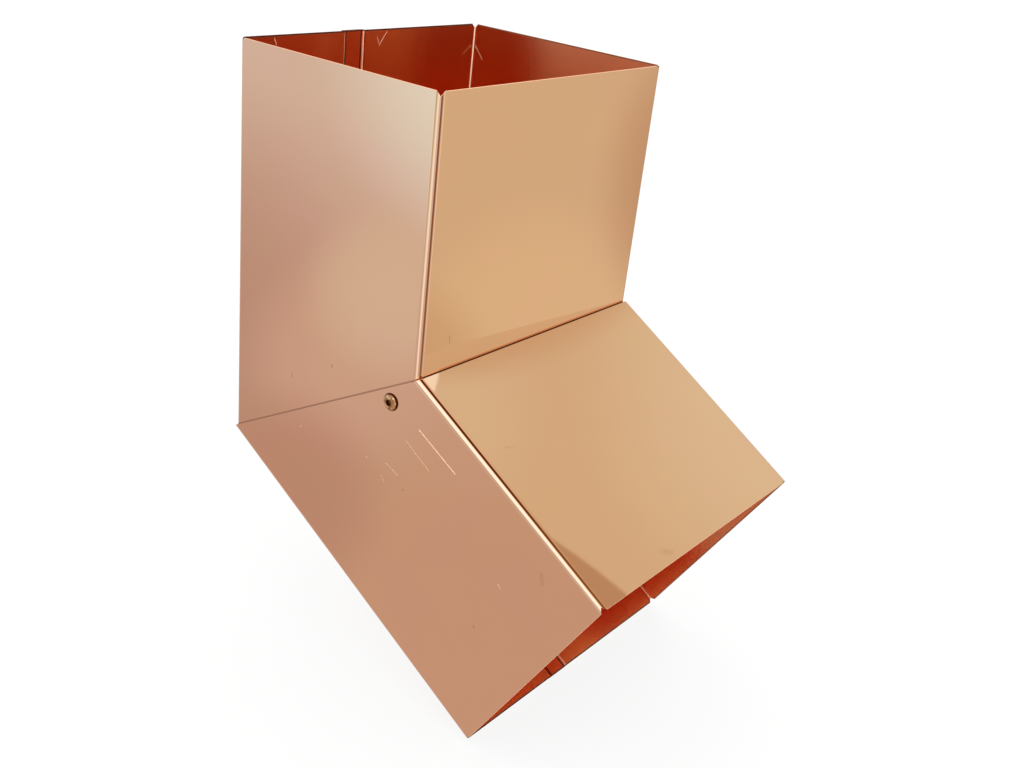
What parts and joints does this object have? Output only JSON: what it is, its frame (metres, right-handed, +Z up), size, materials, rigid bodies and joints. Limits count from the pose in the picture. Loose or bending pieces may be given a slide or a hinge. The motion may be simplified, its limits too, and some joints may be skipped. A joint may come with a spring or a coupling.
{
  "type": "downspout elbow",
  "caption": "Rectangular copper downspout elbow: folded sheet sections, mitred, tucked into each other and riveted, that turn roof water outwards.",
  "frame": {"origin": "centre of the inlet's rim", "axes": "+Z up along the upper leg, out of the inlet; +X the way the lower leg kicks out; Y from cheek to cheek"},
  "size_m": [0.1476, 0.1052, 0.185],
  "materials": {
    "copper_sheet": "bright mill-finish copper sheet",
    "rivet_copper": "bright copper, slightly dulled at the edge",
    "mandrel_steel": "dark broken steel"
  },
  "bodies": {
    "root": {"upper_section": "copper_sheet", "lower_section": "copper_sheet", "rivets": "rivet_copper", "rivet_mandrels": "mandrel_steel"}
  },
  "joints": []
}
